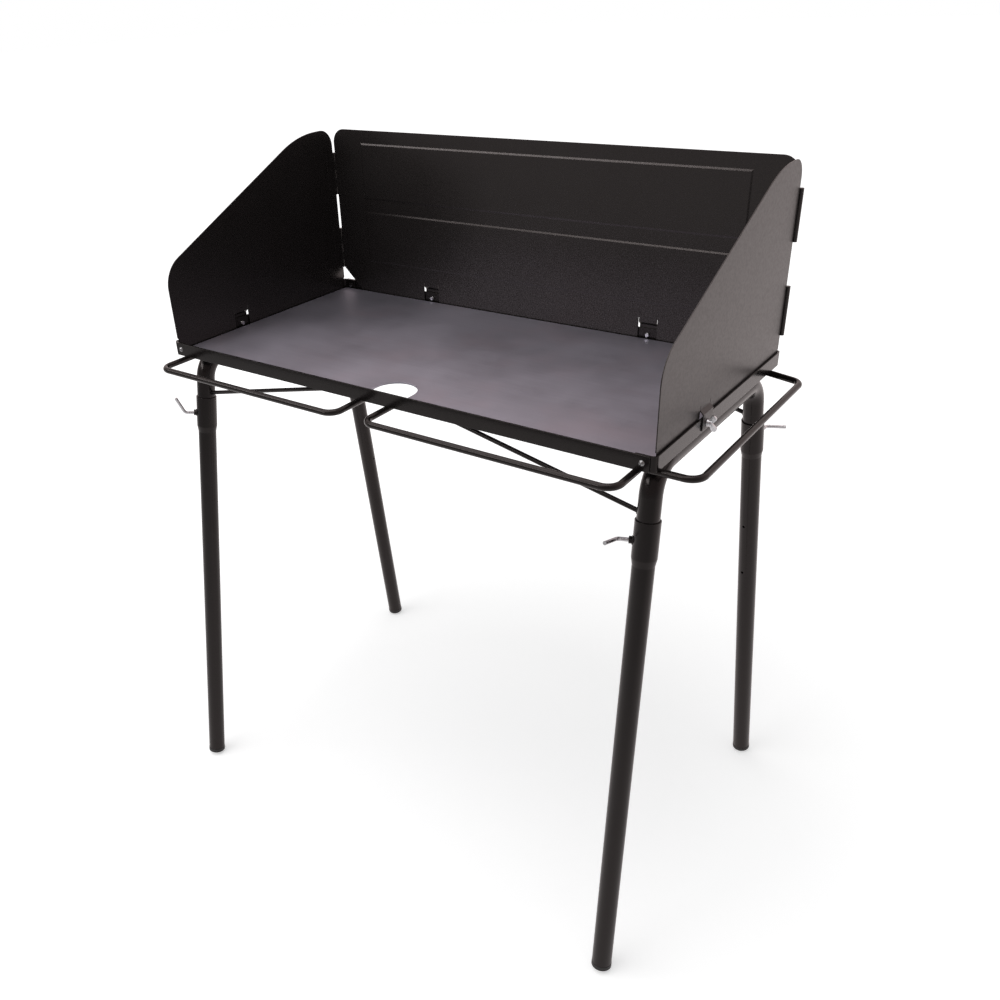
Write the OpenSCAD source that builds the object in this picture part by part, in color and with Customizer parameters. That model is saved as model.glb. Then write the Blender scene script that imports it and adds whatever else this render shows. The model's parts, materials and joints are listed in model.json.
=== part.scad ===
// Outdoor cook table with a lift-out steel plate, a clamped windscreen, utensil rails and plug-in legs

/* [Table] */
// Length of the frame from left to right
table_l = 910; // [860:2:980]
// Depth of the frame from front to back
table_w = 457; // [440:1:490]
// Height of the frame's upper edge above the floor
table_h = 890; // [830:2:960]

/* [Frame] */
// Height of the frame angle's wall
rail_h = 22; // [20:0.5:26]
// Width of the frame angle's ledge
ledge_w = 30; // [28:0.5:34]
// Thickness of the frame angle
rail_t = 2.5; // [2:0.1:3]
// Outer bend radius at the frame's corners
corner_r = 8; // [6:0.5:10]
// Shank diameter of the corner rivets
rivet_d = 5; // [4:0.5:6]
// Head diameter of the corner rivets
rivet_head_d = 8.5; // [8:0.5:11]
// Height of a rivet's head
rivet_head = 2.6; // [2:0.2:3.2]
// Height of a rivet's inner tail
rivet_tail = 2; // [1.5:0.1:2.5]
// Depth that rods and tubes are fused into what they are welded to
weld = 0.3; // [0.2:0.05:0.5]

/* [Cook plate] */
// Thickness of the plate
plate_t = 3; // [2:0.5:5]
// Gap left around the plate so that it lifts out
plate_gap = 2; // [1.6:0.1:3]
// Radius of the plate's corners
plate_r = 6; // [5:0.5:10]
// Width of the finger notch in the plate's front edge
notch_w = 72; // [60:1:84]
// Length of the finger notch's straight sides
notch_in = 38.5; // [34:0.5:44]

/* [Windscreen] */
// Height of the windscreen above the frame
screen_h = 289; // [270:1:320]
// Thickness of the windscreen sheet
panel_t = 1.5; // [1.2:0.1:2]
// Gap between the frame's wall and the sheet
panel_gap = 1; // [0.8:0.1:2]
// Distance of a side panel's front edge behind the frame's front face
front_inset = 8; // [6:0.5:12]
// Set-back of a side panel's ends where it drops into the frame
drop_inset = 3; // [2.5:0.5:4]
// Height above the frame where the slant would meet the front edge
slant_low = 122; // [110:1:135]
// Distance from the back edge of a side panel to where the slant would meet the top edge
slant_run = 90; // [84:1:105]
// Radius of a side panel's front corner
front_r = 55; // [35:1:60]
// Radius where the slant runs into the top edge
slant_r = 210; // [150:5:230]
// Radius of a side panel's rear top corner
rear_r = 30; // [20:1:34]
// Radius of the back panel's top corners
back_r = 26; // [16:1:30]
// Width of the cut at the back panel's lower corners
cut_w = 46; // [44:1:52]
// Height of the cut at the back panel's lower corners
cut_h = 44; // [42:1:46]
// Distance from the back panel's side edge to its raised fields
field_side = 67.5; // [55:0.5:80]
// Distance from the back panel's top edge to the upper field
field_top = 23; // [20:1:30]
// Height of the upper field
field_upper = 102; // [90:1:105]
// Height of the lower field
field_lower = 97; // [85:1:98]
// Gap between the two fields
field_gap = 23; // [22:0.5:32]
// Height that the fields stand out of the sheet
field_rise = 0.9; // [0.6:0.1:1.2]
// Width of the slope around each field
field_slope = 3; // [2:0.5:5]

/* [Clamp tabs] */
// Width of a clamp tab
tab_w = 33; // [28:1:36]
// Slit cut on both sides of a clamp tab
tab_slit = 1; // [0.8:0.1:2]
// Height of a tab's fold above the frame
tab_top = 12; // [11:0.5:20]
// Length that the slits run on above the fold
tab_relief = 6; // [3:0.5:10]
// Clearance between a tab and the frame's outer face
tab_gap = 0.3; // [0.2:0.05:0.5]
// Height of a tab's lower edge above the angle's underside
tab_low = 4; // [3:0.5:6]
// Distance of the side tabs in front of the middle
tab_side = 68; // [40:1:90]
// Distance of the back tabs from the middle
tab_back = 228; // [180:1:260]

/* [Wing screws] */
// Thread diameter of the screws
screw_d = 6; // [5:0.5:6]
// Radial clearance of a screw in its hole
screw_fit = 0.05; // [0.02:0.01:0.1]
// Length of a wing screw's tip inside the frame's wall
screw_tip = 4; // [2:0.5:5]
// Diameter of a wing screw's boss
boss_d = 11; // [10:0.5:13]
// Height of a wing screw's boss
boss_h = 6.5; // [5:0.5:9]
// Reach of each wing from the screw's axis
wing_reach = 13; // [11:0.5:15]
// Radius of a wing's rounded end
wing_r = 4.5; // [3.5:0.1:5]
// Distance of the wings' ends beyond the boss
wing_rise = 2; // [1:0.2:3]
// Thickness of the wings
wing_t = 2.4; // [2:0.2:3]

/* [Hinges] */
// Height of each hinge
hinge_h = 77; // [70:1:84]
// Height of the lower hinges above the frame
hinge_low = 25; // [20:1:30]
// Height of the upper hinges above the frame
hinge_high = 168; // [160:1:180]
// Width of a leaf from the pin
leaf_w = 25; // [20:1:30]
// Thickness of a leaf
leaf_t = 1.2; // [1:0.1:1.5]
// Diameter of the knuckles
knuckle_d = 7.5; // [6.5:0.1:8.5]
// Height that the knuckles stand out on the inner face of the leaves
knuckle_out = 0.3; // [0.2:0.05:0.6]
// Gap between the sheets' edges and the knuckles
edge_gap = 1.2; // [1:0.1:3]
// Diameter of the pins
pin_d = 3; // [2.4:0.2:3.2]
// Number of knuckles on a hinge
knuckles = 5; // [3:2:7]
// Gap between neighbouring knuckles
knuckle_gap = 0.3; // [0.2:0.05:0.5]

/* [Legs] */
// Outer diameter of the leg tube
tube_d = 32; // [29:0.5:34]
// Wall of the leg tube
tube_t = 2; // [1.5:0.1:2.5]
// Bend radius of the leg frames on the tube's middle line
bend_r = 45; // [40:1:55]
// Distance from the frame's end to a leg frame's middle line
leg_inset = 22; // [20:0.5:24]
// Distance of the legs' upper corner from the middle, front and back
leg_y = 182; // [175:1:190]
// Outward slope of the legs to the front and back in degrees
splay = 8.5; // [6:0.25:10]
// Outward slope of the legs to the sides in degrees
lean = 1.9; // [0:0.1:3]
// Distance along the leg from its upper corner to the collar
collar_drop = 73; // [72:1:85]
// Length of the collar's straight part
collar_l = 55; // [50:1:70]
// Length of the taper below the collar
taper_l = 11; // [9:0.5:14]
// Radial clearance of the collar on the upper tube
collar_fit = 0.08; // [0.05:0.01:0.1]
// Clearance between the upper tube's end and the collar's shoulder
seat_gap = 0.3; // [0.2:0.05:0.5]
// Distance of the clamp screw below the collar's edge
nut_drop = 31; // [26:1:36]
// Diameter of the small holes in a lower leg
vent_d = 5; // [4:0.5:6]
// Distance of the first small hole below the collar's edge
vent_drop = 206; // [180:1:240]
// Distance between the small holes
vent_pitch = 102; // [80:1:120]
// Turn of each lower leg in its socket: front left, front right, rear left, rear right
leg_turn = [230, 204, 190, 76];

/* [Clamp screws] */
// Width across the weld nut's flats
nut_af = 10; // [9:0.5:11]
// Height of the weld nut above the collar
nut_h = 5; // [4:0.5:6]
// Distance from the leg's middle line to the screw's bend
clamp_out = 38.5; // [37:0.5:42]
// Bend of the clamp screw's handle in degrees
clamp_bend = 60; // [45:1:75]
// Length of the clamp screw's handle
clamp_handle = 31; // [26:1:36]
// Inner bend allowance of the clamp screw on its middle line
clamp_r = 7; // [6:0.5:9]
// Turn of each handle about its screw: front left, front right, rear left, rear right
clamp_turn = [90, 5, 0, 180];

/* [Foot caps] */
// Height of a foot cap's visible rim
cap_rim = 7; // [5:0.5:10]
// Length of the cap's plug inside the tube
cap_plug = 20; // [14:1:26]
// Diameter step of the cap's rim over the tube
cap_step = 0.6; // [0.4:0.1:1]
// Radius of the cap's domed sole
dome_r = 24; // [20:1:30]
// Radial clearance of the plug in the tube
plug_fit = 0.05; // [0.02:0.01:0.1]

/* [Rods] */
// Diameter of the utensil rails
rod_d = 10; // [9:0.5:11]
// Diameter of the braces
brace_d = 7; // [6:0.5:9]
// Reach of the front rails beyond the frame
front_reach = 55; // [46:1:64]
// Reach of the side rail beyond the frame
side_reach = 51.5; // [45:0.5:60]
// Bend radius of the utensil rails on the rod's middle line
rail_bend = 20; // [14:1:26]
// Distance from the middle to a front rail's inner arm
front_inner = 28.5; // [20:0.5:34]
// Distance of the gap between the front rails to the left of the middle
front_shift = 8.5; // [0:0.5:14]
// Distance from the frame's end to a front rail's outer arm
front_outer = 28; // [24:0.5:40]
// Distance from the frame's front face to the side rail's front arm
side_fore = 18.5; // [16:0.5:26]
// Distance from the frame's back face to the side rail's rear arm
side_aft = 32.5; // [28:0.5:46]
// Distance that the side rail's rear bend lies in front of its rear end
side_lean = 20; // [0:1:26]
// Gap between the side rail's ends and the ledge's inner edge
side_short = 12; // [10:0.5:14]
// Gap between a rod's end and the ledge's inner edge
arm_short = 6; // [4:0.5:10]
// Distance along the leg from its upper corner to where a brace points at its middle line
brace_low = 67; // [62:0.5:68]
// Distance from the middle to a brace's upper bend
brace_mid = 104; // [85:1:120]
// Length of a brace's flat end under the ledge
brace_end = 25; // [18:1:32]
// Bend radius of the braces on the rod's middle line
brace_r = 10; // [8:0.5:11]

/* [Hidden] */

$fn = 64;
eps = 0.01;
bend_mark = 0.05;
black = [0.10, 0.095, 0.095];
iron = [0.38, 0.36, 0.38];
zinc = [0.80, 0.80, 0.82];
rubber = [0.05, 0.05, 0.05];

half_l = table_l / 2;
half_w = table_w / 2;
rail_z = table_h - rail_h;
ledge_z = rail_z + rail_t;
mid_z = table_h - rail_h / 2;
return_l = ledge_w - corner_r;
rivet_x = half_l - corner_r - return_l / 2;
panel_x = half_l - rail_t - panel_gap - panel_t;
panel_y = half_w - rail_t - panel_gap - panel_t;
pin_in = leaf_t - knuckle_d / 2 + knuckle_out;
pin_x = panel_x - pin_in;
pin_y = panel_y - pin_in;
side_back = pin_y - knuckle_d / 2 - edge_gap;
back_side = pin_x - knuckle_d / 2 - edge_gap;
screen_z = table_h + screen_h;
side_front = -half_w + front_inset;
drop_front = side_front + drop_inset;
tab_z = table_h + tab_top;
tab_out = rail_t + panel_gap + panel_t + tab_gap;
tab_fold = panel_t * tan(22.5);
tube_r = tube_d / 2;
rod_r = rod_d / 2;
run_z = rail_z - tube_r + weld;
leg_x = half_l - leg_inset;
rod_z = rail_z - rod_r + weld;
drop_cos = cos(splay) * cos(lean);
collar_in = tube_r + collar_fit;
collar_out = collar_in + tube_t;
stub_s = collar_drop + collar_l - seat_gap;
taper_s = collar_drop + collar_l + taper_l;
dome_s = (run_z - dome_r) / drop_cos;
cap_r = tube_r + cap_step / 2;
sole_s = dome_s + sqrt(dome_r * dome_r - cap_r * cap_r);
tube_s = sole_s - cap_rim;
nut_s = collar_drop + nut_drop;
arm_end_y = half_w - ledge_w + arm_short;
side_end_x = half_l - ledge_w + side_short;
field_root = 0.2;

function unit(v) = v / norm(v);
function bearing(v) = atan2(v[1], v[0]);
function between(u, v) = acos(max(-1, min(1, u * v)));
function before(p, i) = p[(i + len(p) - 1) % len(p)];
function after(p, i) = p[(i + 1) % len(p)];
function set_back(p, r, i) = r[i] * tan(between(unit(p[i] - before(p, i)), unit(after(p, i) - p[i])) / 2);
function corner_in(p, r, i) = p[i] - unit(p[i] - before(p, i)) * set_back(p, r, i);
function corner_out(p, r, i) = p[i] + unit(after(p, i) - p[i]) * set_back(p, r, i);
function right_of(u) = [u[1], -u[0]];

// Clockwise outline whose corners are rounded by the listed radii
module rounded_outline(p, r) {
    polygon([for (i = [0:len(p) - 1], k = [0:1]) k == 0 ? corner_in(p, r, i) : corner_out(p, r, i)]);
    for (i = [0:len(p) - 1])
        if (r[i] > 0) {
            middle = corner_in(p, r, i) + right_of(unit(p[i] - before(p, i))) * r[i];
            intersection() {
                translate(middle)
                    circle(r = r[i], $fn = 256);
                polygon([middle, corner_in(p, r, i), p[i], corner_out(p, r, i)]);
            }
        }
}

// Round bar along a flat path with round bends and a faint tool mark where each bend starts and ends
module bent_rod(p, d, bend) {
    n = len(p) - 1;
    u = [for (i = [0:n - 1]) unit(p[i + 1] - p[i])];
    a = [for (i = [0:n]) i == 0 || i == n ? 0 : between(u[i - 1], u[i])];
    for (i = [0:n - 1]) {
        from = p[i] + u[i] * bend * tan(a[i] / 2);
        to = p[i + 1] - u[i] * bend * tan(a[i + 1] / 2);
        translate([from[0], from[1], 0])
            rotate([0, 90, bearing(u[i])])
                cylinder(d = d, h = norm(to - from));
    }
    for (i = [1:1:n - 1]) {
        left = cross(u[i - 1], u[i]) > 0;
        back = p[i] - u[i - 1] * bend * tan(a[i] / 2);
        ahead = p[i] + u[i] * bend * tan(a[i] / 2);
        middle = back + right_of(u[i - 1]) * (left ? -bend : bend);
        translate([middle[0], middle[1], 0])
            rotate(left ? bearing(u[i - 1]) - 90 : bearing(u[i - 1]) + 90 - a[i])
                rotate_extrude(angle = a[i])
                    translate([bend, 0])
                        circle(d = d);
        translate([back[0], back[1], 0])
            rotate([0, 90, bearing(u[i - 1])])
                cylinder(d = d + 2 * bend_mark, h = 10 * bend_mark, center = true);
        translate([ahead[0], ahead[1], 0])
            rotate([0, 90, bearing(u[i])])
                cylinder(d = d + 2 * bend_mark, h = 10 * bend_mark, center = true);
    }
}

// Frame angles
module side_wall_plan() {
    translate([half_l - rail_t, -half_w + rail_t + corner_r])
        square([rail_t, table_w - 2 * rail_t - 2 * corner_r]);
    for (s = [-1, 1])
        scale([1, s]) {
            translate([half_l - corner_r - return_l, half_w - 2 * rail_t])
                square([return_l, rail_t]);
            translate([half_l - corner_r, half_w - rail_t - corner_r])
                intersection() {
                    difference() {
                        circle(r = corner_r);
                        circle(r = corner_r - rail_t);
                    }
                    square(corner_r);
                }
        }
}

module side_ledge_plan() {
    translate([half_l - ledge_w, -half_w + rail_t])
        square([ledge_w - corner_r, table_w - 2 * rail_t]);
    translate([half_l - corner_r - eps, -half_w + rail_t + corner_r])
        square([corner_r + eps, table_w - 2 * rail_t - 2 * corner_r]);
    for (s = [-1, 1])
        translate([half_l - corner_r, s * (half_w - rail_t - corner_r)])
            circle(r = corner_r);
}

module side_angle() {
    difference() {
        union() {
            translate([0, 0, rail_z])
                linear_extrude(rail_h)
                    side_wall_plan();
            translate([0, 0, rail_z])
                linear_extrude(rail_t)
                    side_ledge_plan();
        }
        translate([half_l - 2 * rail_t, -tab_side, mid_z])
            rotate([0, 90, 0])
                cylinder(d = screw_d + 2 * screw_fit, h = 4 * rail_t);
        for (s = [-1, 1])
            translate([rivet_x, s * half_w, mid_z])
                rotate([90, 0, 0])
                    cylinder(d = rivet_d, h = 8 * rail_t, center = true);
    }
}

module cross_angle() {
    difference() {
        union() {
            translate([-half_l + corner_r, half_w - rail_t, rail_z])
                cube([table_l - 2 * corner_r, rail_t, rail_h]);
            translate([-half_l + ledge_w, half_w - ledge_w, rail_z])
                cube([table_l - 2 * ledge_w, ledge_w, rail_t]);
        }
        for (s = [-1, 1])
            translate([s * rivet_x, half_w, mid_z])
                rotate([90, 0, 0])
                    cylinder(d = rivet_d, h = 8 * rail_t, center = true);
    }
}

module rail_front() {
    color(black)
        mirror([0, 1, 0])
            cross_angle();
}

module rail_back() {
    color(black)
        difference() {
            cross_angle();
            for (s = [-1, 1])
                translate([s * tab_back, half_w + rail_t, mid_z])
                    rotate([90, 0, 0])
                        cylinder(d = screw_d + 2 * screw_fit, h = 4 * rail_t);
        }
}

module rail_left() {
    color(black)
        mirror([1, 0, 0])
            side_angle();
}

module rail_right() {
    color(black)
        side_angle();
}

// Corner rivets with a domed head outside and a flat tail inside
module rivet_dome(d, h) {
    r = (d * d / 4 + h * h) / (2 * h);
    intersection() {
        translate([0, 0, h - r])
            sphere(r = r);
        cylinder(d = d + 1, h = h + 1);
    }
}

module corner_rivets() {
    color(zinc)
        for (sx = [-1, 1], sy = [-1, 1])
            scale([1, sy, 1])
                translate([sx * rivet_x, half_w, mid_z])
                    rotate([-90, 0, 0]) {
                        rivet_dome(rivet_head_d, rivet_head);
                        translate([0, 0, -2 * rail_t - rivet_tail])
                            cylinder(d = rivet_d, h = 2 * rail_t + rivet_tail + eps);
                        translate([0, 0, -2 * rail_t - rivet_tail])
                            cylinder(d = rivet_d + 2.4, h = rivet_tail);
                    }
}

// Cook plate with a finger hole
module cook_plate() {
    front = half_w - 2 * rail_t - rivet_tail - plate_gap;
    back = panel_y - max(leaf_t, field_rise) - plate_gap;
    side = panel_x - leaf_t - plate_gap;
    color(iron)
        translate([0, 0, ledge_z])
            linear_extrude(plate_t)
                difference() {
                    union() {
                        translate([plate_r - side, -front])
                            square([2 * side - 2 * plate_r, front + back]);
                        translate([-side, plate_r - front])
                            square([2 * side, front + back - 2 * plate_r]);
                        for (x = [plate_r - side, side - plate_r], y = [plate_r - front, back - plate_r])
                            translate([x, y])
                                circle(r = plate_r);
                    }
                    translate([0, notch_in - front]) {
                        translate([-notch_w / 2, -2 * notch_in])
                            square([notch_w, 2 * notch_in]);
                        circle(d = notch_w);
                    }
                }
}

// Clamp tab, drawn for a sheet that lies on the line x = 0 with the frame towards +X
module tab_strip() {
    low = rail_z + tab_low;
    fold = tab_z - panel_t;
    foot = fold - tab_out;
    difference() {
        translate([0, tab_w / 2, 0])
            rotate([90, 0, 0])
                linear_extrude(tab_w)
                    polygon([[0, tab_z + panel_t], [0, fold], [tab_out, foot], [tab_out, low],
                        [tab_out + panel_t, low], [tab_out + panel_t, foot + tab_fold],
                        [panel_t, fold + tab_fold], [panel_t, tab_z + panel_t]]);
        translate([tab_out - panel_t, 0, mid_z])
            rotate([0, 90, 0])
                cylinder(d = screw_d + 4 * tab_gap, h = 4 * panel_t);
        translate([tab_out - panel_t, -screw_d / 2 - 2 * tab_gap, low - 1])
            cube([4 * panel_t, screw_d + 4 * tab_gap, mid_z - low + 1]);
    }
}

module tab_window() {
    translate([-panel_t, -tab_w / 2 - tab_slit, ledge_z - 1])
        cube([4 * panel_t, tab_w + 2 * tab_slit, tab_z - ledge_z + 1]);
    for (s = [-1, 1])
        translate([panel_t, s * (tab_w + tab_slit) / 2, tab_z])
            cube([4 * panel_t, tab_slit, 2 * tab_relief], center = true);
}

// Side panels of the windscreen
module side_sheet() {
    low = table_h + drop_inset / 3;
    p = [[drop_front, ledge_z], [drop_front, low], [side_front, low + drop_inset],
        [side_front, table_h + slant_low], [side_back - slant_run, screen_z], [side_back, screen_z],
        [side_back, low + drop_inset], [side_back - drop_inset, low], [side_back - drop_inset, ledge_z]];
    r = [0, 0, 0, front_r, slant_r, rear_r, 0, 0, 0];
    translate([panel_x, 0, 0])
        difference() {
            rotate([90, 0, 90])
                linear_extrude(panel_t)
                    rounded_outline(p, r);
            translate([0, -tab_side, 0])
                tab_window();
        }
    translate([panel_x, -tab_side, 0])
        tab_strip();
}

module left_panel() {
    color(black)
        mirror([1, 0, 0])
            side_sheet();
}

module right_panel() {
    color(black)
        side_sheet();
}

// Back panel with two raised fields
module raised_field(low, high, side, depth) {
    intersection() {
        translate([-side, 0, 0])
            rotate([90, 0, 90])
                linear_extrude(2 * side)
                    polygon([[field_root, low], [field_root, high], [0, high], [-depth, high - field_slope],
                        [-depth, low + field_slope], [0, low]]);
        translate([0, 0, low])
            linear_extrude(high - low)
                polygon([[-side, field_root], [side, field_root], [side, 0], [side - field_slope, -depth],
                    [-side + field_slope, -depth], [-side, 0]]);
    }
}

module back_fields() {
    side = back_side - field_side;
    high = screen_z - field_top;
    split = high - field_upper;
    raised_field(split, high, side, field_rise);
    raised_field(split - field_gap - field_lower, split - field_gap, side, field_rise);
}

module back_panel() {
    p = [[-back_side + cut_w, ledge_z], [-back_side, ledge_z + cut_h], [-back_side, screen_z],
        [back_side, screen_z], [back_side, ledge_z + cut_h], [back_side - cut_w, ledge_z]];
    r = [0, 0, back_r, back_r, 0, 0];
    color(black) {
        translate([0, panel_y, 0])
            difference() {
                union() {
                    translate([0, panel_t, 0])
                        rotate([90, 0, 0])
                            linear_extrude(panel_t)
                                rounded_outline(p, r);
                    back_fields();
                }
                translate([0, panel_t, 0])
                    back_fields();
                for (s = [-1, 1])
                    translate([s * tab_back, 0, 0])
                        rotate(90)
                            tab_window();
            }
        for (s = [-1, 1])
            translate([s * tab_back, panel_y, 0])
                rotate(90)
                    tab_strip();
    }
}

// Hinges between the panels, each with a leaf on both sheets, interleaved knuckles and a pin
module knuckle_row(first) {
    step = hinge_h / knuckles;
    for (i = [first:2:knuckles - 1])
        translate([0, 0, i * step + knuckle_gap / 2])
            children();
}

module leaf(first) {
    step = hinge_h / knuckles;
    difference() {
        union() {
            translate([pin_in - leaf_t, -leaf_w, 0])
                cube([leaf_t, leaf_w - knuckle_d / 2 - edge_gap, hinge_h]);
            knuckle_row(first) {
                cylinder(d = knuckle_d, h = step - knuckle_gap);
                translate([pin_in - leaf_t, -knuckle_d / 2 - 2 * edge_gap, 0])
                    cube([leaf_t, knuckle_d / 2 + 2 * edge_gap, step - knuckle_gap]);
            }
        }
        translate([0, 0, -1])
            cylinder(d = pin_d + 2 * screw_fit, h = hinge_h + 2);
    }
}

module at_hinge(high) {
    translate([pin_x, pin_y, table_h + (high ? hinge_high : hinge_low)])
        children();
}

module side_leaves() {
    for (high = [false, true])
        at_hinge(high)
            leaf(0);
}

module hinge_leaves_left() {
    color(black)
        mirror([1, 0, 0])
            side_leaves();
}

module hinge_leaves_right() {
    color(black)
        side_leaves();
}

module hinge_leaves_back() {
    color(black)
        for (s = [0, 1])
            mirror([s, 0, 0])
                for (high = [false, true])
                    at_hinge(high)
                        mirror([1, -1, 0])
                            leaf(1);
}

module hinge_pins() {
    color(black)
        for (s = [0, 1])
            mirror([s, 0, 0])
                for (high = [false, true])
                    at_hinge(high)
                        cylinder(d = pin_d, h = hinge_h);
}

// Wing screws that clamp the tabs to the frame
module wing_screw() {
    seat = tab_gap * 2 + panel_t;
    ear = wing_reach - wing_r;
    tip = seat + boss_h + wing_rise;
    web = wing_r * sin(45);
    rotate([0, 90, 0]) {
        translate([0, 0, -rail_t - screw_tip])
            cylinder(d = screw_d, h = rail_t + screw_tip + seat + 1);
        translate([0, 0, seat])
            cylinder(d1 = boss_d, d2 = boss_d - wing_t, h = boss_h);
    }
    rotate([90, 0, 0])
        linear_extrude(wing_t, center = true)
            for (s = [-1, 1])
                scale([1, s]) {
                    translate([tip, ear])
                        circle(r = wing_r);
                    polygon([[seat + wing_t / 2, 0], [seat + boss_h, 0], [tip + web, ear - web],
                        [tip - web, ear + web]]);
                }
}

module wing_screw_left() {
    color(zinc)
        translate([-half_l, -tab_side, mid_z])
            rotate([15, 0, 180])
                wing_screw();
}

module wing_screw_right() {
    color(zinc)
        translate([half_l, -tab_side, mid_z])
            rotate([15, 0, 0])
                wing_screw();
}

module wing_screw_back(s) {
    color(zinc)
        translate([s * tab_back, half_w, mid_z])
            rotate([15, 0, 90])
                wing_screw();
}

module wing_screw_back_left() {
    wing_screw_back(-1);
}

module wing_screw_back_right() {
    wing_screw_back(1);
}

// Upper leg frames, each one tube bent into an arch
module leg_path(extra, d) {
    reach = stub_s + extra;
    y = leg_y + reach * sin(splay);
    z = -reach * cos(splay);
    rotate([90, 0, 90])
        bent_rod([[-y, z], [-leg_y, 0], [leg_y, 0], [y, z]], d, bend_r);
}

module leg_frame() {
    translate([leg_x, 0, run_z])
        rotate([0, -lean, 0])
            difference() {
                leg_path(0, tube_d);
                leg_path(1, tube_d - 2 * tube_t);
            }
}

module leg_frame_left() {
    color(black)
        mirror([1, 0, 0])
            leg_frame();
}

module leg_frame_right() {
    color(black)
        leg_frame();
}

// Place on a leg's middle line, with -Z down the leg
module at_leg(sx, sy) {
    translate([sx * leg_x, 0, run_z])
        rotate([0, -sx * lean, 0])
            translate([0, sy * leg_y, 0])
                rotate([sy * splay, 0, 0])
                    children();
}

module at_clamp(sx, sy, i) {
    at_leg(sx, sy)
        rotate(leg_turn[i])
            translate([0, 0, -nut_s])
                children();
}

// Lower legs with a swaged collar
module lower_leg(sx, sy, i) {
    top = -collar_drop;
    shoulder = top - collar_l;
    color(black)
        at_leg(sx, sy)
            rotate(leg_turn[i])
                difference() {
                    rotate_extrude()
                        polygon([[collar_in, top], [collar_out, top], [collar_out, shoulder],
                            [tube_r, shoulder - taper_l], [tube_r, -tube_s], [tube_r - tube_t, -tube_s],
                            [tube_r - tube_t, shoulder - taper_l], [collar_in, shoulder]]);
                    translate([0, 0, -nut_s])
                        rotate([0, 90, 0])
                            cylinder(d = screw_d + 4 * tab_gap, h = 2 * tube_d);
                    for (k = [0, 1])
                        translate([0, 0, top - vent_drop - k * vent_pitch])
                            rotate([0, -90, 0])
                                cylinder(d = vent_d, h = tube_d);
                }
}

module lower_leg_front_left() {
    lower_leg(-1, -1, 0);
}

module lower_leg_front_right() {
    lower_leg(1, -1, 1);
}

module lower_leg_rear_left() {
    lower_leg(-1, 1, 2);
}

module lower_leg_rear_right() {
    lower_leg(1, 1, 3);
}

// Weld nuts saddled on the collars
module weld_nut(sx, sy, i) {
    color(black)
        at_clamp(sx, sy, i)
            difference() {
                translate([collar_in, 0, 0])
                    rotate([0, 90, 0])
                        cylinder(d = nut_af / cos(30), h = tube_t + nut_h, $fn = 6);
                cylinder(r = collar_out, h = 4 * nut_af, center = true);
                rotate([0, 90, 0])
                    cylinder(d = screw_d + 2 * screw_fit, h = 2 * tube_d);
            }
}

module weld_nut_front_left() {
    weld_nut(-1, -1, 0);
}

module weld_nut_front_right() {
    weld_nut(1, -1, 1);
}

module weld_nut_rear_left() {
    weld_nut(-1, 1, 2);
}

module weld_nut_rear_right() {
    weld_nut(1, 1, 3);
}

// Clamp screws with a bent handle
module clamp_screw(sx, sy, i) {
    color(zinc)
        at_clamp(sx, sy, i)
            rotate([clamp_turn[i], 0, 0])
                bent_rod([[tube_r + seat_gap, 0], [clamp_out, 0],
                    [clamp_out + clamp_handle * cos(clamp_bend), clamp_handle * sin(clamp_bend)]],
                    screw_d, clamp_r);
}

module clamp_screw_front_left() {
    clamp_screw(-1, -1, 0);
}

module clamp_screw_front_right() {
    clamp_screw(1, -1, 1);
}

module clamp_screw_rear_left() {
    clamp_screw(-1, 1, 2);
}

module clamp_screw_rear_right() {
    clamp_screw(1, 1, 3);
}

// Foot caps plugged into the lower legs
module foot_cap(sx, sy) {
    color(rubber)
        at_leg(sx, sy) {
            intersection() {
                translate([0, 0, -tube_s - 2 * dome_r])
                    cylinder(r = cap_r, h = 2 * dome_r);
                translate([0, 0, -dome_s])
                    sphere(r = dome_r, $fn = 128);
            }
            translate([0, 0, -tube_s - eps])
                cylinder(r = tube_r - tube_t - plug_fit, h = cap_plug + eps);
        }
}

module foot_cap_front_left() {
    foot_cap(-1, -1);
}

module foot_cap_front_right() {
    foot_cap(1, -1);
}

module foot_cap_rear_left() {
    foot_cap(-1, 1);
}

module foot_cap_rear_right() {
    foot_cap(1, 1);
}

// Braces from the legs to the ledges
module brace() {
    drop = brace_low * cos(splay);
    low = run_z - drop * cos(lean);
    side = leg_x + drop * sin(lean);
    near = leg_y + brace_low * sin(splay);
    flat_z = rail_z - brace_d / 2 + weld;
    run = norm([side - brace_mid, arm_end_y - near]);
    difference() {
        translate([side, near, 0])
            rotate(atan2(arm_end_y - near, brace_mid - side))
                rotate([90, 0, 0])
                    bent_rod([[0, low], [run, flat_z], [run + brace_end, flat_z]], brace_d, brace_r);
        at_leg(1, 1)
            translate([0, 0, -2 * brace_low])
                cylinder(r = tube_r - weld, h = 4 * brace_low);
    }
}

module brace_front_left() {
    color(black)
        mirror([1, 0, 0])
            mirror([0, 1, 0])
                brace();
}

module brace_front_right() {
    color(black)
        mirror([0, 1, 0])
            brace();
}

module brace_rear_left() {
    color(black)
        mirror([1, 0, 0])
            brace();
}

module brace_rear_right() {
    color(black)
        brace();
}

// Utensil rails welded under the frame
module front_rail(inner) {
    out = half_w + front_reach;
    far = half_l - front_outer;
    translate([0, 0, rod_z])
        bent_rod([[inner, -arm_end_y], [inner, -out], [far, -out], [far, -arm_end_y]],
            rod_d, rail_bend);
}

module utensil_rail_front_left() {
    color(black)
        mirror([1, 0, 0])
            front_rail(front_inner + front_shift);
}

module utensil_rail_front_right() {
    color(black)
        front_rail(front_inner - front_shift);
}

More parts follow.
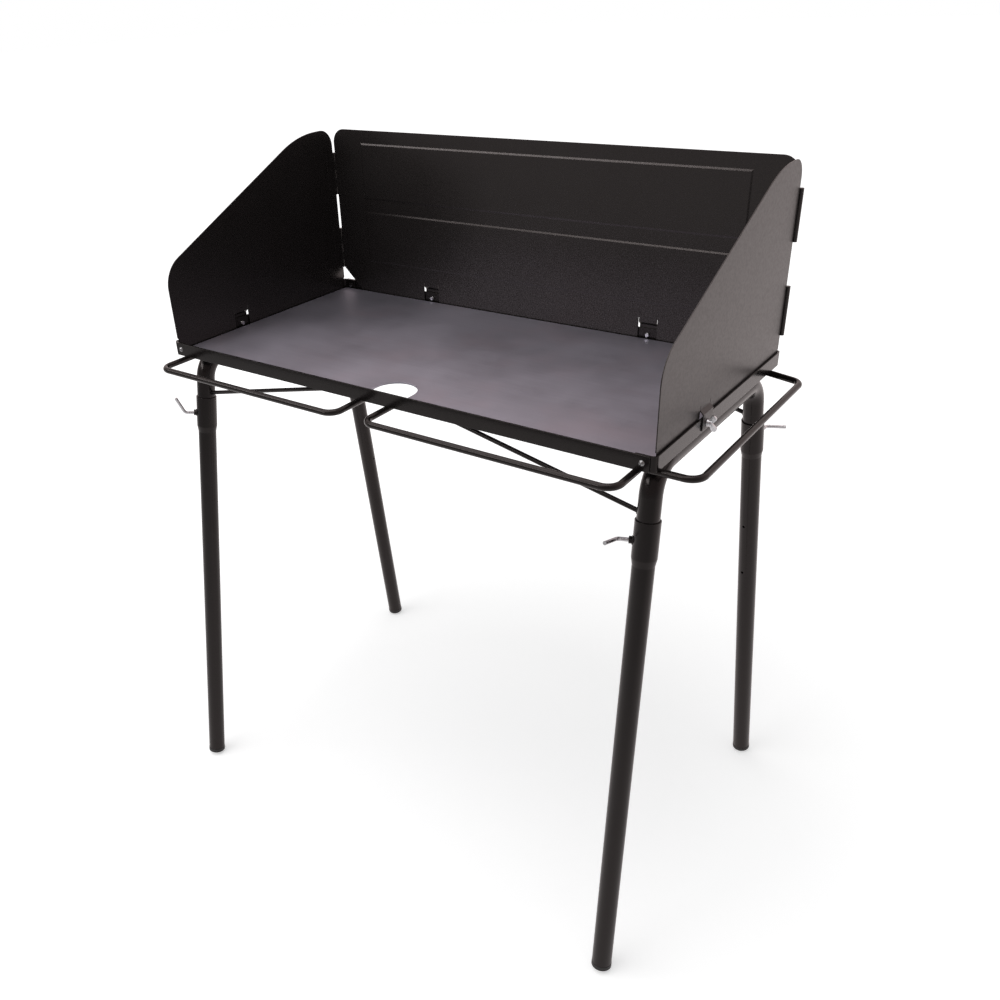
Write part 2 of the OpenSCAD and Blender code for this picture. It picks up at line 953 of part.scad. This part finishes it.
module utensil_rail_right() {
    out = half_l + side_reach;
    front = -half_w + side_fore;
    rear = half_w - side_aft;
    color(black)
        translate([0, 0, rod_z])
            bent_rod([[side_end_x, front], [out, front], [out, rear - side_lean], [side_end_x, rear]],
                rod_d, rail_bend);
}

rail_front();
rail_back();
rail_left();
rail_right();
corner_rivets();
cook_plate();
back_panel();
left_panel();
right_panel();
hinge_leaves_back();
hinge_leaves_left();
hinge_leaves_right();
hinge_pins();
wing_screw_left();
wing_screw_right();
wing_screw_back_left();
wing_screw_back_right();
leg_frame_left();
leg_frame_right();
brace_front_left();
brace_front_right();
brace_rear_left();
brace_rear_right();
utensil_rail_front_left();
utensil_rail_front_right();
utensil_rail_right();
lower_leg_front_left();
lower_leg_front_right();
lower_leg_rear_left();
lower_leg_rear_right();
weld_nut_front_left();
weld_nut_front_right();
weld_nut_rear_left();
weld_nut_rear_right();
clamp_screw_front_left();
clamp_screw_front_right();
clamp_screw_rear_left();
clamp_screw_rear_right();
foot_cap_front_left();
foot_cap_front_right();
foot_cap_rear_left();
foot_cap_rear_right();
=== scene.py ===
import json
import math

import bmesh
import bpy
from mathutils import Matrix, Vector


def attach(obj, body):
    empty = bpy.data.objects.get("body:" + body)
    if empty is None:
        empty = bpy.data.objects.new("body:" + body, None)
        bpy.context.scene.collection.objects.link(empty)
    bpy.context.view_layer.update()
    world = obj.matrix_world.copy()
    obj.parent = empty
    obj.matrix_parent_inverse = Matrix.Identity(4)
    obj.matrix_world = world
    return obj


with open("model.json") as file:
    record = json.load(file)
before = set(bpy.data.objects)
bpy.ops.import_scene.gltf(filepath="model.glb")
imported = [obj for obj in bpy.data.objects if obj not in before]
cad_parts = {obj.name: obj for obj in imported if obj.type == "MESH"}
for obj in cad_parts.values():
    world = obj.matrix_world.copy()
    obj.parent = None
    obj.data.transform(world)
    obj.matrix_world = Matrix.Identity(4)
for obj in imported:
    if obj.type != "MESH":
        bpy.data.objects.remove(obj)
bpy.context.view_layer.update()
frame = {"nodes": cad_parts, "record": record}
nodes = frame["nodes"]
print("frame loaded:", len(nodes), "nodes")


# Helpers for node materials

def newMaterial(name):
    mat = bpy.data.materials.new(name)
    mat.use_nodes = True
    tree = mat.node_tree
    shader = tree.nodes["Principled BSDF"]
    coords = tree.nodes.new("ShaderNodeTexCoord")
    return mat, tree, shader, coords.outputs["Object"]


def noiseNode(tree, vector, scale, detail=4.0, rough=0.55, stretch=None):
    if stretch:
        mapping = tree.nodes.new("ShaderNodeMapping")
        mapping.inputs["Scale"].default_value = stretch
        tree.links.new(vector, mapping.inputs["Vector"])
        vector = mapping.outputs["Vector"]
    noise = tree.nodes.new("ShaderNodeTexNoise")
    noise.inputs["Scale"].default_value = scale
    noise.inputs["Detail"].default_value = detail
    noise.inputs["Roughness"].default_value = rough
    tree.links.new(vector, noise.inputs["Vector"])
    return noise.outputs["Fac"]


def remap(tree, value, low, high, fromLow=0.35, fromHigh=0.65):
    node = tree.nodes.new("ShaderNodeMapRange")
    node.inputs["From Min"].default_value = fromLow
    node.inputs["From Max"].default_value = fromHigh
    node.inputs["To Min"].default_value = low
    node.inputs["To Max"].default_value = high
    tree.links.new(value, node.inputs["Value"])
    return node.outputs["Result"]


def mixColor(tree, fac, dark, light):
    node = tree.nodes.new("ShaderNodeMix")
    node.data_type = "RGBA"
    node.inputs["A"].default_value = (*dark, 1)
    node.inputs["B"].default_value = (*light, 1)
    tree.links.new(fac, node.inputs["Factor"])
    return node.outputs["Result"]


def mixOver(tree, fac, base, color):
    node = tree.nodes.new("ShaderNodeMix")
    node.data_type = "RGBA"
    tree.links.new(fac, node.inputs["Factor"])
    tree.links.new(base, node.inputs["A"])
    node.inputs["B"].default_value = (*color, 1)
    return node.outputs["Result"]


def link(tree, value, socket):
    if isinstance(value, (int, float)):
        socket.default_value = value
    else:
        tree.links.new(value, socket)


def mathNode(tree, operation, a, b=0.0):
    node = tree.nodes.new("ShaderNodeMath")
    node.operation = operation
    link(tree, a, node.inputs[0])
    link(tree, b, node.inputs[1])
    return node.outputs[0]


def mixValue(tree, fac, low, high):
    node = tree.nodes.new("ShaderNodeMix")
    tree.links.new(fac, node.inputs["Factor"])
    link(tree, low, node.inputs["A"])
    link(tree, high, node.inputs["B"])
    return node.outputs["Result"]


def splitAxes(tree, vector):
    node = tree.nodes.new("ShaderNodeSeparateXYZ")
    tree.links.new(vector, node.inputs[0])
    return node.outputs


# Edge mask settings: the lighter edge colour is part wear, part painted highlight along sharp edges
edgeWearAndSheen = {"samples": 6, "sharp": 0.82, "flat": 0.99, "scale": 110.0, "detail": 4.0, "broken": (0.42, 0.68)}


# Rounded normals along sharp edges, and a mask of those edges for wear and a painted edge highlight
def softEdges(tree, radius):
    bevel = tree.nodes.new("ShaderNodeBevel")
    bevel.samples = edgeWearAndSheen["samples"]
    bevel.inputs["Radius"].default_value = radius
    shape = tree.nodes.new("ShaderNodeNewGeometry")
    dot = tree.nodes.new("ShaderNodeVectorMath")
    dot.operation = "DOT_PRODUCT"
    tree.links.new(bevel.outputs["Normal"], dot.inputs[0])
    tree.links.new(shape.outputs["Normal"], dot.inputs[1])
    edge = remap(tree, dot.outputs["Value"], 1.0, 0.0, edgeWearAndSheen["sharp"], edgeWearAndSheen["flat"])
    return bevel.outputs["Normal"], edge


# Sharp edges painted lighter in broken patches: part wear, part painted highlight standing in for edge glints
def wornAndSheenColor(tree, obj, edge, coat, wornAndSheen):
    patches = noiseNode(tree, obj, edgeWearAndSheen["scale"], edgeWearAndSheen["detail"])
    broken = remap(tree, patches, 0.0, 1.0, *edgeWearAndSheen["broken"])
    return mixOver(tree, mathNode(tree, "MULTIPLY", edge, broken), coat, wornAndSheen)


def addBump(tree, shader, height, strength, distance, normal=None):
    node = tree.nodes.new("ShaderNodeBump")
    node.inputs["Strength"].default_value = strength
    node.inputs["Distance"].default_value = distance
    tree.links.new(height, node.inputs["Height"])
    if normal:
        tree.links.new(normal, node.inputs["Normal"])
    tree.links.new(node.outputs["Normal"], shader.inputs["Normal"])


# Finishes
# The worn colour is the lighter edge colour: part wear, part painted edge highlight
screenCoat = {"dark": (0.0095, 0.0082, 0.0080), "light": (0.0150, 0.0132, 0.0130), "gloss": (0.24, 0.32),
              "outside": (0.30, 0.38), "level": 0.50, "tint": (1.0, 0.90, 0.88), "peel": 0.03, "grain": 900.0,
              "edge": 0.0005, "wornAndSheen": (0.030, 0.028, 0.028)}
frameCoat = {"dark": (0.0046, 0.0038, 0.0038), "light": (0.0085, 0.0072, 0.0070), "gloss": (0.17, 0.25),
             "level": 0.32, "tint": (1.0, 0.90, 0.88), "peel": 0.10, "grain": 700.0,
             "edge": 0.0008, "wornAndSheen": (0.040, 0.037, 0.036)}
plateSteel = {"dark": (0.314, 0.300, 0.350), "light": (0.437, 0.426, 0.490), "scale": (0.410, 0.366, 0.418),
              "gloss": (0.46, 0.55), "edge": 0.0007, "cloud": (6.0, 6.0, 0.6), "patch": (9.0, 3.0, 0.5),
              "patchMix": (0.0, 0.6, 0.50, 0.70), "streak": (160.0, 3.0, 0.6, (0.06, 1.0, 1.0)),
              "grain": (420.0, 3.0, 0.6, (0.25, 1.0, 1.0)), "bump": (0.12, 0.0002)}
zincPlate = {"dark": (0.50, 0.50, 0.52), "light": (0.78, 0.78, 0.80), "gloss": (0.16, 0.34)}
rivetMetal = {"dark": (0.20, 0.20, 0.20), "light": (0.34, 0.34, 0.35), "gloss": (0.20, 0.32)}
capPlastic = {"dark": (0.006, 0.006, 0.006), "light": (0.011, 0.011, 0.011), "gloss": (0.45, 0.58),
              "cloud": (120.0, 3.0), "skin": (900.0, 2.0), "bump": (0.15, 0.0002)}
coatNoise = {"cloud": (14.0, 3.0), "speckle": (260.0, 3.0), "skinDetail": 2.0, "skinDepth": 0.0002, "ior": 1.5}
metalNoise = {"cloud": (180.0, 3.0), "fine": (1400.0, 2.0), "bump": (0.06, 0.0001)}
sheetFaces = {"outsideX": 0.4507, "outsideY": 0.2242}


# One where a point lies on the outer side of the windscreen's sheets
def outsideMask(tree, obj):
    axes = splitAxes(tree, obj)
    side = mathNode(tree, "GREATER_THAN", mathNode(tree, "ABSOLUTE", axes["X"]), sheetFaces["outsideX"])
    back = mathNode(tree, "GREATER_THAN", axes["Y"], sheetFaces["outsideY"])
    return mathNode(tree, "MAXIMUM", side, back)


def powderCoat(name, look):
    mat, tree, shader, obj = newMaterial(name)
    rounded, edge = softEdges(tree, look["edge"])
    cloud = noiseNode(tree, obj, *coatNoise["cloud"])
    coat = mixColor(tree, cloud, look["dark"], look["light"])
    # Base colour with sharp edges painted lighter: part wear, part painted edge highlight
    tree.links.new(wornAndSheenColor(tree, obj, edge, coat, look["wornAndSheen"]), shader.inputs["Base Color"])
    fine = noiseNode(tree, obj, *coatNoise["speckle"])
    gloss = remap(tree, fine, *look["gloss"])
    if "outside" in look:
        rough = remap(tree, fine, *look["outside"])
        gloss = mixValue(tree, outsideMask(tree, obj), gloss, rough)
    tree.links.new(gloss, shader.inputs["Roughness"])
    shader.inputs["IOR"].default_value = coatNoise["ior"]
    shader.inputs["Specular IOR Level"].default_value = look["level"]
    shader.inputs["Specular Tint"].default_value = (*look["tint"], 1)
    skin = noiseNode(tree, obj, look["grain"], coatNoise["skinDetail"])
    addBump(tree, shader, skin, look["peel"], coatNoise["skinDepth"], rounded)
    return mat


def makePlate():
    mat, tree, shader, obj = newMaterial("cookPlateSteel")
    cloud = noiseNode(tree, obj, *plateSteel["cloud"])
    streak = noiseNode(tree, obj, *plateSteel["streak"])
    mottle = mathNode(tree, "MULTIPLY", mathNode(tree, "ADD", cloud, streak), 0.5)
    steel = mixColor(tree, mottle, plateSteel["dark"], plateSteel["light"])
    patch = remap(tree, noiseNode(tree, obj, *plateSteel["patch"]), *plateSteel["patchMix"])
    tree.links.new(mixOver(tree, patch, steel, plateSteel["scale"]), shader.inputs["Base Color"])  # mill scale
    tree.links.new(remap(tree, cloud, *plateSteel["gloss"]), shader.inputs["Roughness"])
    shader.inputs["Metallic"].default_value = 1.0
    grain = noiseNode(tree, obj, *plateSteel["grain"])
    rounded = softEdges(tree, plateSteel["edge"])[0]
    addBump(tree, shader, grain, *plateSteel["bump"], rounded)
    return mat


def bareMetal(name, look):
    mat, tree, shader, obj = newMaterial(name)
    cloud = noiseNode(tree, obj, *metalNoise["cloud"])
    tree.links.new(mixColor(tree, cloud, look["dark"], look["light"]), shader.inputs["Base Color"])
    tree.links.new(remap(tree, cloud, *look["gloss"]), shader.inputs["Roughness"])
    shader.inputs["Metallic"].default_value = 1.0
    addBump(tree, shader, noiseNode(tree, obj, *metalNoise["fine"]), *metalNoise["bump"])
    return mat


def makeCap():
    mat, tree, shader, obj = newMaterial("footCapPlastic")
    cloud = noiseNode(tree, obj, *capPlastic["cloud"])
    tree.links.new(mixColor(tree, cloud, capPlastic["dark"], capPlastic["light"]), shader.inputs["Base Color"])
    tree.links.new(remap(tree, cloud, *capPlastic["gloss"]), shader.inputs["Roughness"])
    addBump(tree, shader, noiseNode(tree, obj, *capPlastic["skin"]), *capPlastic["bump"])
    return mat


finishes = {
    "screen_paint": powderCoat("screenPowderCoat", screenCoat),
    "frame_paint": powderCoat("framePowderCoat", frameCoat),
    "plate_steel": makePlate(),
    "zinc_plate": bareMetal("brightZinc", zincPlate),
    "cap_plastic": makeCap(),
}
slotOf = {s["node"]: s["material_slot"] for s in frame["record"]["subparts"]}
for name, obj in nodes.items():
    obj.data.materials.clear()
    obj.data.materials.append(finishes[slotOf[name]])
nodes["corner_rivets"].data.materials[0] = bareMetal("rivetMetal", rivetMetal)
print("finishes assigned")


# Screw threads and weld beads
thread = {"pitch": 0.001, "root": 0.0028, "crest": 0.0032, "steps": 16,
          "clampRun": (-0.0067, 0.0035), "wingRun": (-0.0062, -0.0027)}
bead = {"braceRing": 0.0041, "braceSize": 0.0013, "braceCount": 22, "tube": 0.0160,
        "nutRing": 0.0058, "nutSize": 0.0009, "nutCount": 40, "collar": 0.0182, "nutPlace": 0.030,
        "legTop": (0.433, 0.182, 0.8523), "braceDrop": 0.067, "braceEnd": (0.104, 0.2045, 0.8648)}
jointRow = {j["name"]: j for j in frame["record"]["behaviour"]["joints"]}


def newPiece(name, bm, body, slot):
    bmesh.ops.recalc_face_normals(bm, faces=bm.faces)
    mesh = bpy.data.meshes.new(name)
    bm.to_mesh(mesh)
    bm.free()
    piece = bpy.data.objects.new(name, mesh)
    bpy.context.scene.collection.objects.link(piece)
    mesh.materials.append(finishes[slot])
    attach(piece, body)


# A ridge wound round a screw, between two places along its axis
def addThread(name, joint, run, body):
    middle, axis = Vector(joint["pos_m"]), Vector(joint["axis"]).normalized()
    side = axis.orthogonal().normalized()
    pitch, steps = thread["pitch"], thread["steps"]
    bm = bmesh.new()
    ridge = ((thread["root"], 0.1), (thread["crest"], 0.5), (thread["root"], 0.9))
    corners = [bm.verts.new(middle + axis * (run[0] + pitch * at) + side * out) for out, at in ridge]
    bm.faces.new(corners)
    count = round((run[1] - run[0] - pitch) / pitch * steps)
    bmesh.ops.spin(bm, geom=bm.verts[:] + bm.edges[:] + bm.faces[:], cent=middle, axis=axis,
                   dvec=axis * (pitch / steps), angle=2 * math.pi * count / steps, steps=count)
    newPiece(name, bm, body, "zinc_plate")


# Weld beads where something of round outline stands on a tube
def beadRing(bm, start, along, axis, ring, tube, size, count):
    across = along.orthogonal().normalized()
    other = along.cross(across)
    flat = along - axis * along.dot(axis)
    for i in range(count):
        angle = 2 * math.pi * i / count
        out = (across * math.cos(angle) + other * math.sin(angle)) * ring
        wide = out - axis * out.dot(axis)
        a, b, c = flat.dot(flat), 2 * wide.dot(flat), wide.dot(wide) - tube ** 2
        reach = (-b + math.sqrt(b * b - 4 * a * c)) / (2 * a)
        place = Matrix.Translation(start + out + along * reach)
        bmesh.ops.create_icosphere(bm, subdivisions=1, radius=size, matrix=place)


def smoothFaces(bm):
    for face in bm.faces:
        face.smooth = True


braceWeld = bmesh.new()
for corner in ("front_left", "front_right", "rear_left", "rear_right"):
    legAxis = Vector(jointRow["leg_" + corner + "_slide"]["axis"]).normalized()
    turn = jointRow["clamp_" + corner + "_turn"]
    addThread("clamp_thread_" + corner, turn, thread["clampRun"], "clamp_" + corner)

    outward = Vector(turn["axis"]).normalized()
    nutWeld = bmesh.new()
    beadRing(nutWeld, Vector(turn["pos_m"]) - outward * bead["nutPlace"], outward, legAxis,
             bead["nutRing"], bead["collar"], bead["nutSize"], bead["nutCount"])
    smoothFaces(nutWeld)
    newPiece("nut_weld_" + corner, nutWeld, "leg_" + corner, "frame_paint")

    signs = Vector((-1 if "left" in corner else 1, -1 if "front" in corner else 1, 1))
    start = Vector(bead["legTop"]) * signs + legAxis * bead["braceDrop"]
    along = (Vector(bead["braceEnd"]) * signs - start).normalized()
    beadRing(braceWeld, start, along, legAxis, bead["braceRing"], bead["tube"],
             bead["braceSize"], bead["braceCount"])
smoothFaces(braceWeld)
newPiece("brace_welds", braceWeld, "frame", "frame_paint")
for place in ("left", "right", "back_left", "back_right"):
    addThread("wing_thread_" + place, jointRow["wing_" + place + "_turn"], thread["wingRun"], "wing_" + place)
print("threads and welds made")


# Floor, light and camera
# floorFront, floorBack and floorRun set the painted reflection: how brightly the floor glows for glossy rays, front
# to back
studio = {"floorHalf": 30.0, "floorDrop": 0.0004, "floorRough": 0.9, "floorColor": (0.80, 0.80, 0.80),
          "floorNear": 0.44, "floorFar": 0.85, "floorReach": (0.4, 2.2), "ambient": 0.40, "warm": (1.0, 0.86, 0.84),
          "floorFront": 0.05, "floorBack": 0.70, "floorRun": (-1.5, 1.5), "skyFront": 0.35, "skyBack": 0.95}


def makeFloor():
    bm = bmesh.new()
    bmesh.ops.create_grid(bm, x_segments=1, y_segments=1, size=studio["floorHalf"])
    bmesh.ops.translate(bm, verts=bm.verts, vec=(0, 0, -studio["floorDrop"]))
    mesh = bpy.data.meshes.new("floor")
    bm.to_mesh(mesh)
    bm.free()
    floor = bpy.data.objects.new("floor", mesh)
    bpy.context.scene.collection.objects.link(floor)
    mat, tree, shader, obj = newMaterial("floorWhite")
    shader.inputs["Base Color"].default_value = (*studio["floorColor"], 1)
    shader.inputs["Roughness"].default_value = studio["floorRough"]
    shader.inputs["Specular IOR Level"].default_value = 0.0
    path = tree.nodes.new("ShaderNodeLightPath")
    # Painted reflection: glossy rays see the floor glow warm-tinted, dim towards the front and brighter towards the
    # back
    shade = mixColor(tree, path.outputs["Is Glossy Ray"], (1, 1, 1), studio["warm"])
    tree.links.new(shade, shader.inputs["Emission Color"])
    eye = mathNode(tree, "MAXIMUM", path.outputs["Is Camera Ray"], path.outputs["Is Transmission Ray"])
    toBack = splitAxes(tree, obj)["Y"]
    reflectionSweep = remap(tree, toBack, studio["floorFront"], studio["floorBack"], *studio["floorRun"])
    away = tree.nodes.new("ShaderNodeVectorMath")
    away.operation = "LENGTH"
    tree.links.new(obj, away.inputs[0])
    glow = remap(tree, away.outputs["Value"], studio["floorNear"], studio["floorFar"], *studio["floorReach"])
    seen = mathNode(tree, "MULTIPLY", eye, glow)
    # Painted reflection: this glow reaches glossy rays only, not the lighting
    paintedReflection = mathNode(tree, "MULTIPLY", path.outputs["Is Glossy Ray"], reflectionSweep)
    tree.links.new(mathNode(tree, "ADD", seen, paintedReflection), shader.inputs["Emission Strength"])
    mesh.materials.append(mat)


def makeWorld():
    world = bpy.data.worlds.new("studio")
    bpy.context.scene.world = world
    world.use_nodes = True
    tree = world.node_tree
    back = tree.nodes["Background"]
    path = tree.nodes.new("ShaderNodeLightPath")
    shade = mixColor(tree, path.outputs["Is Glossy Ray"], (1, 1, 1), studio["warm"])
    tree.links.new(shade, back.inputs["Color"])
    coords = tree.nodes.new("ShaderNodeTexCoord")
    toBack = splitAxes(tree, coords.outputs["Generated"])["Y"]
    sky = remap(tree, toBack, studio["skyFront"], studio["skyBack"], -0.5, 0.5)
    level = mixValue(tree, path.outputs["Is Glossy Ray"], studio["ambient"], sky)
    seen = mathNode(tree, "MAXIMUM", path.outputs["Is Camera Ray"], path.outputs["Is Transmission Ray"])
    tree.links.new(mixValue(tree, seen, level, 1.0), back.inputs["Strength"])


lamps = [
    {"name": "topSoftBox", "place": (-0.5, -0.7, 3.2), "aim": (0, 0, 0.8),
     "size": (3.0, 3.0), "power": 46},
    {"name": "leftSoftBox", "place": (-1.45, -2.0, 2.1), "aim": (0, 0.2, 1.0),
     "size": (2.4, 0.35), "power": 17},
]


def softBox(look):
    data = bpy.data.lights.new(look["name"], "AREA")
    data.shape = "RECTANGLE"
    data.size, data.size_y = look["size"]
    data.energy = look["power"]
    lamp = bpy.data.objects.new(look["name"], data)
    bpy.context.scene.collection.objects.link(lamp)
    lamp.location = look["place"]
    aim = Vector(look["aim"]) - Vector(look["place"])
    lamp.rotation_euler = aim.to_track_quat("-Z", "Y").to_euler()
    lamp.visible_camera = False


makeFloor()
makeWorld()
for lamp in lamps:
    softBox(lamp)

photoCamera = {
    "focal": 953.80, "middle": (444.56, 527.62), "place": (0.8875, -1.2368, 1.4168),
    "right": (0.809351, 0.585844, -0.041684), "down": (0.262705, -0.424580, -0.866440),
    "ahead": (-0.525296, 0.690303, -0.497539),
}


def makeCamera():
    look = photoCamera
    data = bpy.data.cameras.new("photoCamera")
    data.sensor_width = 36.0
    data.lens = look["focal"] * 36.0 / 1000.0
    data.shift_x = (500 - look["middle"][0]) / 1000
    data.shift_y = (look["middle"][1] - 500) / 1000
    camera = bpy.data.objects.new("photoCamera", data)
    bpy.context.scene.collection.objects.link(camera)
    x, y, z = Vector(look["right"]), -Vector(look["down"]), -Vector(look["ahead"])
    turn = Matrix((x, y, z)).transposed()
    camera.matrix_world = Matrix.Translation(look["place"]) @ turn.to_4x4()
    bpy.context.scene.camera = camera


makeCamera()
bpy.context.scene.view_settings.view_transform = "Standard"
print("studio ready")
